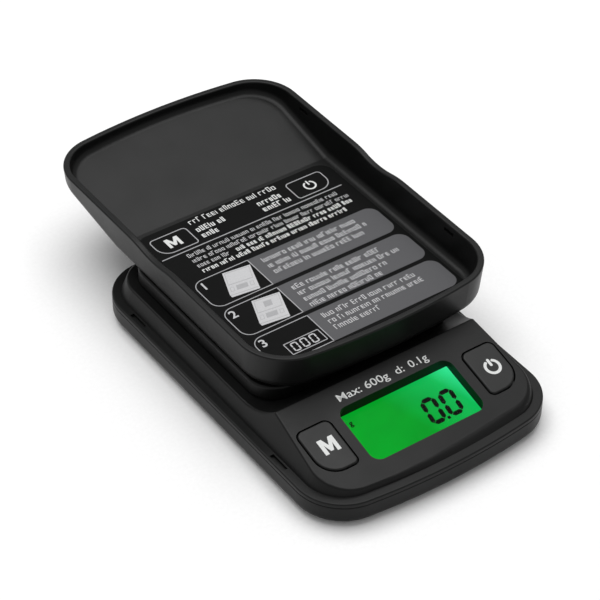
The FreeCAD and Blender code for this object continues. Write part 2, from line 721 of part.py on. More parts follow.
def make_platform():
    skin_under = "plate_top - plate_skin"
    body = new_body("weighing_platform")
    plan = body_sketch(body, "plate_plan", "plate_under")
    rounded_rect(plan, "-plate_half", "plate_half", "plate_front", "plate_back", "plate_corner")
    pad(body, plan, "plate_top - plate_under")
    body_fillet(body, "plate_edge", "0.8", between("plate_top", "plate_top"))
    hollow = body_sketch(body, "plate_hollow", "plate_under")
    rounded_rect(hollow, "-plate_half + 1.6", "plate_half - 1.6", "plate_front + 1.6", "plate_back - 1.6",
                 "plate_corner - 1.6")
    pocket(body, hollow, "plate_top - plate_under - plate_skin", up=True)
    node(body, "weighing_platform")

    column = box("column", ("12.2", "23.8"), ("beam_y - 5.8", "beam_y + 5.8"),
                 ("beam_high + beam_gap", skin_under))
    spider_sketch = free_sketch("spider_plan", f"{skin_under} - 1.5")
    spider_plan = rounded_rect(spider_sketch, "-22", "27", "-2", "34", "5")
    removed = []
    for i, at in enumerate(CARRIER_SCREWS):
        removed.append(cylinder(f"carrier_bore_{i}", "1.35", ("beam_high", "plate_top"), at))
        removed.append(cylinder(f"carrier_head_{i}", "2.5", ("12.4", "plate_top"), at))
    node(cut("carrier", fuse("carrier_built", column, extrude("spider", spider_plan, "1.5")), *removed),
         "platform_carrier")
    screws = []
    for i, at in enumerate(CARRIER_SCREWS):
        head = cylinder(f"carrier_screw_head_{i}", "2.2", ("12.4", "14"), at)
        shank = cylinder(f"carrier_screw_shank_{i}", "1.2", ("5.4", "12.5"), at)
        screws.append(fuse(f"carrier_screw_{i}", head, shank))
    node(group("carrier_screw_set", screws), "carrier_screws")


def make_stop():
    node(cylinder("stop_screw", "1.5", ("0.9", "beam_low - 0.35"), STOP_AT), "overload_stop")


# ---------------------------------------------------------------- cells and door


def make_cells():
    cells, plates, springs = [], [], []
    reach = value("bay_half") - 0.4
    plate_t = 0.3
    for row_side, plus_side in ((-1, 1), (1, -1)):
        y = f"cell_y + {row_side}*cell_pitch/2"
        ends = sorted((plus_side * (reach - 1.2), plus_side * (reach - value("cell_len"))))
        nub = sorted((plus_side * (reach - 1.25), plus_side * reach))
        tag = "front" if row_side < 0 else "back"
        can = lying_cylinder(f"can_{tag}", "cell_r", (f"{ends[0]}", f"{ends[1]}"), "x", (y, "cell_z"))
        cap = lying_cylinder(f"nub_{tag}", "1.9", (f"{nub[0]}", f"{nub[1]}"), "x", (y, "cell_z"))
        cells.append(fuse(f"cell_{tag}", can, cap))
        flat_end = -plus_side * (value("cell_len") - reach)
        springs.append(coil_spring(f"coil_{tag}", -plus_side, y, flat_end, reach))
        low, high = sorted((-plus_side * reach, -plus_side * (reach + plate_t)))
        plates.append(box(f"plate_{tag}", (f"{low}", f"{high}"), (f"{y} - 4.6", f"{y} + 4.6"),
                          ("2.6", "10.6")))
        low, high = sorted((plus_side * reach, plus_side * (reach + plate_t)))
        plates.append(box(f"button_plate_{tag}", (f"{low}", f"{high}"), (f"{y} - 4.6", f"{y} + 4.6"),
                          ("2.6", "10.6")))
    node(group("cells", cells), "battery_cells")
    node(group("springs", springs), "battery_springs")
    node(group("plates", plates), "battery_plates")


def coil_spring(name, side, y, cell_end, reach):
    """A cone-shaped coil between a cell's flat end and its contact plate."""
    wire_r, small_r, cone_angle, turns = 0.28, 2.4, 12, 3
    length = reach - abs(cell_end) - 2 * wire_r - 0.2
    helix = Part.makeHelix(length / turns, length, small_r, cone_angle)
    start = Vector(small_r, 0, 0)
    section = Part.Wire([Part.Circle(start, Vector(0, 1, 0), wire_r).toShape()])
    coil = Part.Wire(helix.Edges).makePipeShell([section], True, False)
    spring = doc.addObject("Part::Feature", name)
    spring.Shape = coil
    turn = Rotation(Vector(0, 1, 0), side * 90)
    spring.Placement = Placement(Vector(cell_end + side * (wire_r + 0.1), value(y), value("cell_z")), turn)
    return spring


def make_door():
    body = new_body("battery_door")
    plan = body_sketch(body, "door_plan", "case_bottom")
    rounded_rect(plan, "-bay_half - 0.5", "bay_half + 0.5", "bay_front - 0.7", "bay_back + 0.7", "0.6")
    pad(body, plan, "door_t")
    for i in range(4):
        groove = body_sketch(body, f"door_groove_{i}", "case_bottom")
        y = value("bay_back") - 4 - 1.6 * i
        rounded_rect(groove, "-6", "6", f"{y - 0.4}", f"{y + 0.4}", "0.35")
        pocket(body, groove, "0.35", up=True)
    tab = body_sketch(body, "door_tab", "case_bottom + door_t")
    rounded_rect(tab, "-4", "4", "bay_back - 1.7", "bay_back - 0.9", "0.3")
    pad(body, tab, "1.6")
    node(body, "battery_door")


# ---------------------------------------------------------------- wires, feet


def bent_wire(name, x, start_y, level, turn_y, bend, end_z, radius):
    """A wire along -Y that turns up to the board with one round bend."""
    a = Vector(x, start_y, level)
    b = Vector(x, turn_y + bend, level)
    diagonal = bend * (1 - math.sqrt(0.5))
    middle = Vector(x, turn_y + diagonal, level + diagonal)
    c = Vector(x, turn_y, level + bend)
    path = Part.Wire([
        Part.LineSegment(a, b).toShape(),
        Part.Arc(b, middle, c).toShape(),
        Part.LineSegment(c, Vector(x, turn_y, end_z)).toShape(),
    ])
    section = Part.Wire([Part.Circle(a, Vector(0, 1, 0), radius).toShape()])
    wire = doc.addObject("Part::Feature", name)
    wire.Shape = path.makePipeShell([section], True, True)
    return wire


def make_wires():
    level, turn_y, gap = 5.2, -27.0, 0.15
    slope = math.radians(value("panel_slope"))
    board_under = value("panel_z") + value("board_top - board_t") / math.cos(slope)
    end_z = board_under + math.tan(slope) * (turn_y - value("panel_y")) - gap
    sensor_y = value("beam_y - beam_w/2") - 0.2
    sensor = [bent_wire(f"sensor_wire_{i}", -9.6 + 1.2 * i, sensor_y, level, turn_y, 2.0, end_z, 0.35)
              for i in range(4)]
    node(group("sensor_wire_set", sensor), "sensor_wires")
    power = [bent_wire(f"battery_wire_{i}", -26.8 - 1.4 * i, 30.0 + 5 * i, level, turn_y, 2.0, end_z, 0.45)
             for i in range(2)]
    node(group("battery_wire_set", power), "battery_wires")


def make_feet():
    pads = [cylinder(f"foot_{i}", "4", ("0", "case_bottom + 0.4"), at) for i, at in enumerate(FEET)]
    node(group("foot_set", pads), "rubber_feet")


# ---------------------------------------------------------------- cover used as a tray


def tray_form(name, inset, low, high):
    """The cover's form between two levels of its own frame; its floor rises towards the shallow end."""
    slant = "tray_draft/tray_depth"
    bottom = case_outline(free_sketch(f"{name}_bottom", low), f"tray_draft - ({low})*{slant} + {inset}")
    rim = case_outline(free_sketch(f"{name}_rim", high), f"tray_draft - ({high})*{slant} + {inset}")
    rise = "tan(tray_rise*1deg)"
    profile = polygon(side_sketch(f"{name}_rise"), [
        ("tray_bend", low),
        ("80", f"{low} + {rise}*(80 - tray_bend)"),
        ("80", "-20"),
        ("tray_bend", "-20"),
    ])
    wedge = extrude(f"{name}_wedge", profile, "100", both_ways=True)
    return cut(f"{name}_form", loft(f"{name}_loft", bottom, rim), wedge)


def low_edges(level, high):
    """Edges round the floor of a tray form, flat part and rising part."""
    floor = value(level)
    rise = math.tan(math.radians(value("tray_rise")))
    bend = value("tray_bend")

    def chosen(edge):
        for vertex in edge.Vertexes:
            expected = floor + max(0.0, rise * (vertex.Point.y - bend))
            if abs(vertex.Point.z - expected) > 0.02:
                return False
        return edge.BoundBox.ZMax < high
    return chosen


def notch_profile(sketch):
    """The dip for a finger in each long side of the rim: one hollow arc between two that lead into it."""
    deep, radius, top = value("notch_deep"), value("notch_r"), value("tray_depth")
    turn = math.degrees(math.acos(1 - deep / (2 * radius)))
    reach = 2 * radius * math.sin(math.radians(turn))
    loop = [
        arc(0, top - deep + radius, radius, 270 - turn, 270 + turn),
        arc(reach, top - radius, radius, 90, 90 + turn),
        Part.LineSegment(Vector(reach, top, 0), Vector(reach, top + 2, 0)),
        Part.LineSegment(Vector(reach, top + 2, 0), Vector(-reach, top + 2, 0)),
        Part.LineSegment(Vector(-reach, top + 2, 0), Vector(-reach, top, 0)),
        arc(-reach, top - radius, radius, 90 - turn, 90),
    ]
    for edge in loop:
        sketch.addGeometry(edge, False)
    joints = ((0, 2, 1, 2), (1, 1, 2, 1), (2, 2, 3, 1), (3, 2, 4, 1), (4, 2, 5, 2), (5, 1, 0, 1))
    for first, first_end, second, second_end in joints:
        kind = "Tangent" if {first, second} <= {0, 1, 5} else "Coincident"
        sketch.addConstraint(Sketcher.Constraint(kind, first, first_end, second, second_end))
    sketch.addConstraint(Sketcher.Constraint("Vertical", 2))
    sketch.addConstraint(Sketcher.Constraint("Horizontal", 3))
    sketch.addConstraint(Sketcher.Constraint("Symmetric", 2, 1, 4, 2, -2))
    datum(sketch, "Radius", 0, "notch_r")
    return sketch


def rim_edges(edge):
    """Edges along the tray's open rim and round its finger notches."""
    bounds = edge.BoundBox
    low = value("tray_depth - notch_deep")
    return bounds.ZMin > low - 0.01 and max(bounds.XLength, bounds.YLength) > 2.5


def make_tray():
    outer = fillet("tray_outer", tray_form("tray", "0", "0", "tray_depth"), "tray_edge", low_edges("0", 11.0))
    inner = fillet("tray_inner", tray_form("tray_hollow", "tray_wall", "tray_floor", "tray_depth + 1"),
                   "tray_edge - 1.4", low_edges("tray_floor", 11.0))
    notch = extrude("finger_notch", notch_profile(side_sketch("notch_profile")), "120", both_ways=True)
    shell = fillet("tray_shell", cut("tray_open", outer, inner, notch), "tray_lip", rim_edges)
    grooves = []
    for side in (1, -1):
        for end in (1, -1):
            x_low, x_high = sorted((side * 36.0, side * 37.7))
            y_low, y_high = sorted((end * 33.0, end * 37.0))
            grooves.append(box(f"snap_groove_{side + 1}{end + 1}", (f"{x_low}", f"{x_high}"),
                               (f"{y_low}", f"{y_high}"), ("tray_depth - 2.8", "tray_depth - 1.7")))
    node(set_on_platform(cut("tray_solid", shell, *grooves)), "lid_tray")

    body = new_body("guide_label")
    plan = body_sketch(body, "label_plan", "tray_floor")
    rounded_rect(plan, "-label_half", "label_half", "label_front", "label_back", ["3.5", "4.5", "4.5", "3.5"])
    pad(body, plan, "label_t")
    node(set_on_platform(body), "guide_label")


def set_on_platform(obj):
    bind(obj, "Placement.Base.x", "tray_x")
    bind(obj, "Placement.Base.y", "tray_y")
    bind(obj, "Placement.Base.z", "plate_top")
    return obj


# ---------------------------------------------------------------- build, check, write

make_lower_case()
make_upper_case()
make_key(-1, "mode")
make_key(1, "power")
make_display()
make_board()
make_load_cell()
make_platform()
make_stop()
make_cells()
make_door()
make_wires()
make_feet()
make_tray()
screw_group("case_screws", CASE_SCREWS, ("2.3", "0.9", "2.1"), ("1", "2", "8"))
screw_group("load_cell_screws", BEAM_SCREWS, ("2.3", "0.7", "1.9"), ("1.2", "1.8", "6.6"))

doc.recompute()
faults = [obj.Name for obj in doc.Objects if {"Invalid", "Error"} & set(obj.State)]
for obj in NODES:
    if obj.Shape.isNull() or not obj.Shape.isValid():
        faults.append(obj.Label)
if faults:
    raise RuntimeError("failed: " + ", ".join(faults))

os.makedirs("parts", exist_ok=True)
for obj in NODES:
    obj.Shape.exportStep(os.path.join("parts", f"{obj.Label}.step"))
    bounds = obj.Shape.BoundBox
    print(f"{obj.Label:20s} solids {len(obj.Shape.Solids)}  volume {obj.Shape.Volume:9.1f}  "
          f"z {bounds.ZMin:6.2f} to {bounds.ZMax:6.2f}")
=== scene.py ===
"""Looks of the digital gram scale.

Moulded black plastic, a lit display, printed keys and a printed card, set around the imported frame.
"""

import json
import math
import random

import bmesh
import bpy
from mathutils import Matrix, Vector


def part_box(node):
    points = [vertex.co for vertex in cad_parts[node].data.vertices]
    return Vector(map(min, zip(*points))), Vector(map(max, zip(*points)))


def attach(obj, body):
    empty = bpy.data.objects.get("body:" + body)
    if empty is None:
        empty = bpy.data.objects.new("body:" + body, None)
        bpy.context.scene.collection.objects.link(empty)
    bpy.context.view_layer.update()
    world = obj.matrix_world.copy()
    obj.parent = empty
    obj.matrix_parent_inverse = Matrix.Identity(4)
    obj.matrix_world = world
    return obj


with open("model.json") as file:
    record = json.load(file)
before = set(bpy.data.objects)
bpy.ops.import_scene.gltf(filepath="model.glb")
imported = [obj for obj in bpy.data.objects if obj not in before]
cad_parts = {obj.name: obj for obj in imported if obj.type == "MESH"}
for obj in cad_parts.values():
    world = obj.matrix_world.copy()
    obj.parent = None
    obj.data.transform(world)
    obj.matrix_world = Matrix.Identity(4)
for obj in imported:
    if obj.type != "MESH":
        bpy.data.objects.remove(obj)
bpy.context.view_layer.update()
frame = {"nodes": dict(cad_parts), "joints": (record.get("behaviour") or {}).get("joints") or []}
NODES = frame["nodes"]
MM = 0.001

# ---------------------------------------------------------------- places read from the frame

WINDOW_DEPTH = 3.4 * MM  # from the panel's skin down to the middle of the window sheet
WINDOW_SHIFT = 1.45 * MM  # from that middle up the slope to the panel's origin


def centre(node):
    low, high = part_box(node)
    return (Vector(low) + Vector(high)) / 2


def panel_frame():
    """The control panel's frame: x to the right, y up the slope, z out of it; its skin is z = 0."""
    press = next(joint for joint in frame["joints"] if joint["name"] == "mode_press")
    out = Vector(press["axis"]).normalized()
    right = Vector((1, 0, 0))
    up = out.cross(right)
    origin = centre("display_window") + out * WINDOW_DEPTH + up * WINDOW_SHIFT
    return Matrix((
        (right.x, up.x, out.x, origin.x),
        (right.y, up.y, out.y, origin.y),
        (right.z, up.z, out.z, origin.z),
        (0, 0, 0, 1),
    ))


def label_frame():
    """The card's frame: x from its middle line, y from its front edge, z up from its top face."""
    low, high = (Vector(corner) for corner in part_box("guide_label"))
    return Matrix.Translation(Vector(((low.x + high.x) / 2, low.y, high.z)))


PANEL = panel_frame()
LABEL = label_frame()

# ---------------------------------------------------------------- material helpers

NOISE_RANGE = (0.3, 0.7)  # nearly all of a noise texture's values lie in here
SHARP_EDGE = 0.86  # how alike a rounded normal and the face's own are on a fully worn edge


class Graph:
    """Short calls for building a node tree."""

    def __init__(self, name):
        self.material = bpy.data.materials.new(name)
        self.material.use_nodes = True
        self.tree = self.material.node_tree
        self.tree.nodes.clear()
        self.output = self.tree.nodes.new("ShaderNodeOutputMaterial")

    def add(self, kind, inputs=None, **settings):
        node = self.tree.nodes.new("ShaderNode" + kind)
        for key, setting in settings.items():
            setattr(node, key, setting)
        for key, source in (inputs or {}).items():
            self.feed(node.inputs[key], source)
        return node

    def feed(self, socket, source):
        if isinstance(source, bpy.types.NodeSocket):
            self.tree.links.new(source, socket)
        else:
            socket.default_value = source

    def place(self):
        return self.add("TexCoord").outputs["Object"]

    def noise(self, scale, detail=2.0, roughness=0.5):
        inputs = {"Vector": self.place(), "Scale": scale, "Detail": detail, "Roughness": roughness}
        return self.add("TexNoise", inputs).outputs["Fac"]

    def grain(self, size, detail, roughness):
        """Noise whose features are about so many millimetres across."""
        return self.noise(1.0 / (size * MM), detail, roughness)

    def lines(self, stretch, scale, detail):
        """Noise in lines that run along the axes whose number in stretch is small."""
        at = self.add("Mapping", {"Vector": self.place(), "Scale": stretch}).outputs["Vector"]
        inputs = {"Vector": at, "Scale": scale, "Detail": detail}
        return self.add("TexNoise", inputs).outputs["Fac"]

    def span(self, value, low, high, to_low, to_high):
        """value, remapped from low..high to to_low..to_high and held within them."""
        inputs = {"Value": value, 1: low, 2: high, 3: to_low, 4: to_high}
        return self.add("MapRange", inputs).outputs["Result"]

    def spread(self, noise, to_low=0.0, to_high=1.0):
        """The usual range of a noise, remapped to to_low..to_high."""
        return self.span(noise, *NOISE_RANGE, to_low, to_high)

    def math(self, operation, first, second):
        return self.add("Math", {0: first, 1: second}, operation=operation).outputs[0]

    def mix(self, amount, first, second):
        node = self.add("Mix", data_type="RGBA")
        self.feed(node.inputs["Factor"], amount)
        self.feed(node.inputs[6], first)
        self.feed(node.inputs[7], second)
        return node.outputs[2]

    def bump(self, height, strength, distance):
        inputs = {"Height": height, "Strength": strength, "Distance": distance}
        return self.add("Bump", inputs).outputs["Normal"]

    def edge_mask(self, radius):
        """1 on edges and corners that hands rub, 0 on flat faces."""
        rounded = self.add("Bevel", {"Radius": radius}, samples=4).outputs["Normal"]
        flat = self.add("NewGeometry").outputs["Normal"]
        inputs = {0: rounded, 1: flat}
        alike = self.add("VectorMath", inputs, operation="DOT_PRODUCT").outputs["Value"]
        return self.span(alike, 1.0, SHARP_EDGE, 0.0, 1.0)

    def surface(self, shader):
        self.tree.links.new(shader, self.output.inputs["Surface"])
        return self.material

    def principled(self, **inputs):
        named = {key.replace("_", " "): entry for key, entry in inputs.items()}
        return self.surface(self.add("BsdfPrincipled", named).outputs["BSDF"])


def grey(level, green=0.0):
    return (level, level * (1 + green), level * (1 + green * 0.3), 1.0)


def dimmed(colour, share):
    return tuple(channel * share for channel in colour[:3]) + (1.0,)


PATCH_SCALE = 55.0  # flow patches about 18 mm across
SPECK_SIZE = 1.3  # rubbed specks, in millimetres
EDGE_RADIUS = 0.45 * MM  # how far in from an edge the rubbing reaches
WORN_LIGHTER, WORN_SMOOTHER = 2.3, 0.1


def moulded_plastic(name, level, rough, grain_mm=0.22, grain_depth=0.012, wear=0.5, specular=0.5):
    """Spark-textured black moulding.

    It has a fine grain, faint flow patches, and edges polished by handling.
    """
    g = Graph(name)
    patches = g.noise(PATCH_SCALE, 3.0, 0.55)
    fine = g.grain(grain_mm, 3.0, 0.6)
    specks = g.grain(SPECK_SIZE, 4.0, 0.7)
    edge = g.math("MULTIPLY", g.edge_mask(EDGE_RADIUS), wear)
    worn = g.math("MULTIPLY", edge, g.span(specks, 0.35, 0.65, 0.5, 1.0))
    shade = g.mix(g.spread(patches), grey(level * 0.88, 0.05), grey(level * 1.15, 0.05))
    colour = g.mix(worn, shade, grey(level * WORN_LIGHTER, 0.02))
    unevenness = g.math("ADD", patches, g.math("MULTIPLY", specks, 0.35))
    base_rough = g.span(unevenness, 0.45, 0.9, rough - 0.05, rough + 0.06)
    roughness = g.math("SUBTRACT", base_rough, g.math("MULTIPLY", worn, WORN_SMOOTHER))
    relief = g.bump(fine, 0.55, grain_depth * MM)
    return g.principled(Base_Color=colour, Roughness=roughness, Normal=relief,
                        Specular_IOR_Level=specular)


def printed_ink(name, colour, rough=0.42):
    """Pad-printed ink: slightly uneven cover and a soft sheen."""
    g = Graph(name)
    cover = g.grain(0.35, 3.0, 0.6)
    shade = g.mix(g.span(cover, 0.35, 0.7, 0.0, 1.0), dimmed(colour, 0.86), colour)
    return g.principled(Base_Color=shade, Roughness=g.spread(cover, rough - 0.05, rough + 0.08),
                        Normal=g.bump(cover, 0.25, 0.004 * MM))


def metal(name, colour, rough, stretch=(1.0, 1.0, 1.0)):
    """Bare metal with fine drawn lines along one axis and faint staining."""
    g = Graph(name)
    drawn = g.lines(stretch, 2600.0, 4.0)
    stain = g.noise(220.0, 4.0, 0.6)
    shade = g.mix(g.span(stain, 0.35, 0.7, 0.0, 0.8), colour, dimmed(colour, 0.78))
    return g.principled(Base_Color=shade, Metallic=1.0,
                        Roughness=g.spread(drawn, rough - 0.06, rough + 0.1),
                        Normal=g.bump(drawn, 0.35, 0.01 * MM))


def dull_solid(name, colour, rough, spot_mm=0.8, relief_mm=0.02, specular=0.5):
    """Rubber, resin, laminate or wire cover: mottled colour and a soft uneven surface."""
    g = Graph(name)
    spots = g.grain(spot_mm, 4.0, 0.6)
    shade = g.mix(g.spread(spots), dimmed(colour, 0.7), colour)
    return g.principled(Base_Color=shade, Roughness=g.spread(spots, rough - 0.07, rough + 0.07),
                        Normal=g.bump(spots, 0.5, relief_mm * MM), Specular_IOR_Level=specular)


def with_sheen(g, base, sheen, roughness):
    """A shader under a faint gloss that is strongest at grazing angles."""
    gloss = g.add("BsdfGlossy", {"Color": (1, 1, 1, 1), "Roughness": roughness})
    share = g.math("MULTIPLY", g.add("Fresnel", {"IOR": 1.4}).outputs["Fac"], sheen)
    both = g.add("MixShader", {0: share})
    g.tree.links.new(base, both.inputs[1])
    g.tree.links.new(gloss.outputs["BSDF"], both.inputs[2])
    return g.surface(both.outputs[0])


# colours of the lit display from its front left to its back right corner
DISPLAY_FIRST, DISPLAY_LAST = (0.001, 0.40, 0.022, 1.0), (0.045, 0.87, 0.35, 1.0)
DISPLAY_BETWEEN = ((0.5, (0.001, 0.35, 0.020, 1.0)), (0.84, (0.006, 0.50, 0.10, 1.0)))
DISPLAY_RIGHT, DISPLAY_BACK = 0.8, 0.2  # how much of the change runs to the right and to the back


def lit_display():
    """Display glass lit from its back right corner: brighter and cooler there, else deep green."""
    g = Graph("lit_display")
    at = g.add("SeparateXYZ", {"Vector": g.place()}).outputs
    low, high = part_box("lcd_glass")
    right = g.span(at["X"], low[0], high[0], 0.0, DISPLAY_RIGHT)
    along = g.math("ADD", right, g.span(at["Y"], low[1], high[1], 0.0, DISPLAY_BACK))
    ramp = g.add("ValToRGB", {"Fac": along})
    stops = ramp.color_ramp.elements
    stops[0].position, stops[0].color = 0.0, DISPLAY_FIRST
    stops[1].position, stops[1].color = 1.0, DISPLAY_LAST
    for position, colour in DISPLAY_BETWEEN:
        stops.new(position).color = colour
    strength = g.spread(g.noise(120.0), 0.94, 1.06)
    glow = g.add("Emission", {"Color": ramp.outputs["Color"], "Strength": strength})
    return with_sheen(g, glow.outputs["Emission"], 0.008, 0.3)


def clear_sheet():
    """Thin clear cover: almost nothing but a faint sheen with hairline scratches."""
    g = Graph("clear_sheet")
    scratch = g.lines((1.0, 9.0, 1.0), 700.0, 5.0)
    clear = g.add("BsdfTransparent", {"Color": (0.97, 0.985, 0.975, 1)})
    return with_sheen(g, clear.outputs["BSDF"], 0.015, g.span(scratch, 0.4, 0.75, 0.12, 0.3))


def glowing_guide():
    """Light guide behind the glass, glowing faintly and unevenly."""
    g = Graph("light_guide")
    colour = g.mix(g.spread(g.noise(300.0, 3.0)), (0.02, 0.6, 0.1, 1), (0.06, 0.8, 0.2, 1))
    return g.principled(Base_Color=colour, Emission_Color=colour, Emission_Strength=0.4,
                        Roughness=0.3)


# ---------------------------------------------------------------- materials of the CAD pieces

CASE = moulded_plastic("case_plastic", 0.0035, 0.40, specular=0.2)
COVER = moulded_plastic("cover_plastic", 0.004, 0.38, specular=0.2)
PLATE = moulded_plastic("plate_plastic", 0.003, 0.42, specular=0.2)
KEYS = moulded_plastic("key_plastic", 0.005, 0.42, grain_mm=0.16, grain_depth=0.008, wear=0.7,
                       specular=0.28)
INNER = moulded_plastic("inner_plastic", 0.02, 0.5, wear=0.2)
CARD = moulded_plastic("card_black", 0.003, 0.6, grain_mm=0.12, grain_depth=0.004, wear=0.15,
                       specular=0.06)
INK_WHITE = printed_ink("ink_white", (0.68, 0.69, 0.68, 1.0))
INK_PALE = printed_ink("ink_pale", (0.36, 0.36, 0.37, 1.0))
INK_GREY = printed_ink("ink_grey", (0.066, 0.066, 0.071, 1.0), 0.6)
INK_LIGHT = printed_ink("ink_light", (0.52, 0.52, 0.53, 1.0))
SEGMENT = dull_solid("segment_black", (0.002, 0.003, 0.002, 1.0), 0.5, 0.4, 0.002, specular=0.02)
STEEL = metal("zinc_steel", (0.56, 0.56, 0.57, 1.0), 0.32)
ALLOY = metal("milled_alloy", (0.78, 0.78, 0.8, 1.0), 0.3, (0.1, 1.0, 1.0))
NICKEL = metal("nickel_spring", (0.7, 0.68, 0.64, 1.0), 0.24)
RUBBER = dull_solid("foot_rubber", (0.02, 0.02, 0.02, 1.0), 0.75, 0.5, 0.03)
STRIPED_RUBBER = dull_solid("contact_rubber", (0.5, 0.32, 0.34, 1.0), 0.6)
BOARD = dull_solid("solder_mask", (0.01, 0.11, 0.04, 1.0), 0.35, 1.6, 0.01)
RESIN = dull_solid("black_resin", (0.008, 0.008, 0.008, 1.0), 0.25, 2.0, 0.05)
CHIP = dull_solid("component_body", (0.025, 0.025, 0.026, 1.0), 0.5, 0.4)
GAUGE = dull_solid("gauge_lacquer", (0.55, 0.33, 0.12, 1.0), 0.3, 0.6, 0.01)
SLEEVE = dull_solid("cell_sleeve", (0.03, 0.032, 0.038, 1.0), 0.3, 2.5, 0.008)
WIRE = dull_solid("wire_cover", (0.4, 0.02, 0.015, 1.0), 0.45, 1.0, 0.01)
PALE_NYLON = dull_solid("pale_nylon", (0.6, 0.58, 0.52, 1.0), 0.45, 0.8, 0.01)

NODE_MATERIALS = {
    CASE: ["lower_case", "upper_case", "battery_door"],
    COVER: ["lid_tray"],
    PLATE: ["weighing_platform"],
    KEYS: ["mode_button", "power_button"],
    INNER: ["platform_carrier", "lcd_frame"],
    CARD: ["guide_label"],
    lit_display(): ["lcd_glass"],
    clear_sheet(): ["display_window"],
    glowing_guide(): ["lcd_backlight"],
    STRIPED_RUBBER: ["zebra_strips"],
    BOARD: ["main_pcb"],
    RESIN: ["controller_blob"],
    CHIP: ["board_components"],
    STEEL: ["pcb_screws", "case_screws", "load_cell_screws", "carrier_screws", "overload_stop",
            "mode_switch", "power_switch"],
    ALLOY: ["load_cell"],
    GAUGE: ["strain_gauges"],
    SLEEVE: ["battery_cells"],
    NICKEL: ["battery_springs", "battery_plates"],
    WIRE: ["sensor_wires", "battery_wires"],
    RUBBER: ["rubber_feet"],
    PALE_NYLON: ["mode_plunger", "power_plunger"],
}
for material, names in NODE_MATERIALS.items():
    for name in names:
        NODES[name].data.materials.clear()
        NODES[name].data.materials.append(material)

# ---------------------------------------------------------------- outlines and solids, in mm


def arc_points(x, y, radius, start, end, count=10):
    step = (end - start) / count
    angles = [math.radians(start + step * i) for i in range(count + 1)]
    return [(x + radius * math.cos(a), y + radius * math.sin(a)) for a in angles]


def round_box(x_low, x_high, y_low, y_high, radii):
    """Outline of a box; radii are front right, back right, back left, front left."""
    if isinstance(radii, (int, float)):
        radii = [radii] * 4
    fr, br, bl, fl = radii
    return (arc_points(x_high - fr, y_low + fr, fr, -90, 0)
            + arc_points(x_high - br, y_high - br, br, 0, 90)
            + arc_points(x_low + bl, y_high - bl, bl, 90, 180)
            + arc_points(x_low + fl, y_low + fl, fl, 180, 270))


def swept_band(x, y, radius, width, start, end):
    """A round stroke: an arc of even width with round ends."""

    def rounded_end(angle, turn):
        at = math.radians(angle)
        end_x, end_y = x + radius * math.cos(at), y + radius * math.sin(at)
        return arc_points(end_x, end_y, width / 2, angle + turn, angle + turn + 180, 8)

    outer = arc_points(x, y, radius + width / 2, start, end, 40)
    inner = arc_points(x, y, radius - width / 2, end, start, 40)
    return outer + rounded_end(end, 0) + inner + rounded_end(start, 180)


def frame_lines(outline, inset):
    """An outline and the same outline pulled in, for a printed border."""
    count = len(outline)
    pulled = []
    for i, (x, y) in enumerate(outline):
        ax, ay = outline[i - 1]
        bx, by = outline[(i + 1) % count]
        dx, dy = bx - ax, by - ay
        length = math.hypot(dx, dy) or 1.0
        pulled.append((x - dy / length * inset, y + dx / length * inset))
    return outline, pulled


def prism(mesh, outline, low, high):
    """Adds a closed prism over an outline."""
    under = [mesh.verts.new((x, y, low)) for x, y in outline]
    over = [mesh.verts.new((x, y, high)) for x, y in outline]
    count = len(outline)
    mesh.faces.new(over)
    mesh.faces.new(list(reversed(under)))
    for i in range(count):
        nxt = (i + 1) % count
        mesh.faces.new((under[i], under[nxt], over[nxt], over[i]))


def band_prism(mesh, outer, inner, low, high):
    """Adds a closed ring between two outlines with the same number of points."""
    rings = [[mesh.verts.new((x, y, z)) for x, y in line]
             for z, line in ((low, outer), (high, outer), (high, inner), (low, inner))]
    count = len(outer)
    for i in range(count):
        nxt = (i + 1) % count
        for k in range(4):
            a, b = rings[k], rings[(k + 1) % 4]
            mesh.faces.new((a[i], a[nxt], b[nxt], b[i]))


def link(item):
    bpy.context.scene.collection.objects.link(item)


def finish_print(name, mesh, place, material, body):
    """Turns a bmesh in millimetres into a piece set in a frame and riding on a body."""
    mesh.transform(place @ Matrix.Scale(MM, 4))
    bmesh.ops.remove_doubles(mesh, verts=mesh.verts, dist=1e-7)
    bmesh.ops.recalc_face_normals(mesh, faces=mesh.faces)
    data = bpy.data.meshes.new(name)
    mesh.to_mesh(data)
    mesh.free()
    data.materials.append(material)
    piece = bpy.data.objects.new(name, data)
    link(piece)
    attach(piece, body)


def add_text(mesh, text, size, x, y, low, high, bold=0.0, width=None):
    """Adds text as a closed mesh centred on x, y, drawn out to a width if one is given."""
    curve = bpy.data.curves.new("lettering", "FONT")
    curve.body = text
    curve.size = size
    curve.offset = bold
    curve.align_x = "CENTER"
    curve.align_y = "CENTER"
    curve.extrude = (high - low) / 2
    curve.resolution_u = 4
    holder = bpy.data.objects.new("lettering", curve)
    link(holder)
    bpy.context.view_layer.update()
    data = bpy.data.meshes.new_from_object(holder)
    if width is not None:
        across = [vertex.co.x for vertex in data.vertices]
        data.transform(Matrix.Scale(width / (max(across) - min(across)), 4, (1, 0, 0)))
    data.transform(Matrix.Translation((x, y, (low + high) / 2)))
    mesh.from_mesh(data)
    bpy.data.objects.remove(holder)
    bpy.data.curves.remove(curve)
    bpy.data.meshes.remove(data)


# ---------------------------------------------------------------- keys, panel and display, in mm

INK_GAP = 0.005  # between a print and the face below it
INK_THICK = 0.02
KEY_PROUD = 0.35  # how far the keys stand out of the panel
MODE_MARK = (-28.9, -2.0, 4.9, 4.8, 1.15)  # x, y, width, height and stroke
POWER_MARK = (27.6, 0.0, 2.1, 0.85)  # x, y, radius and stroke
RATINGS_Y, RATINGS_SIZE = 11.4, 3.3
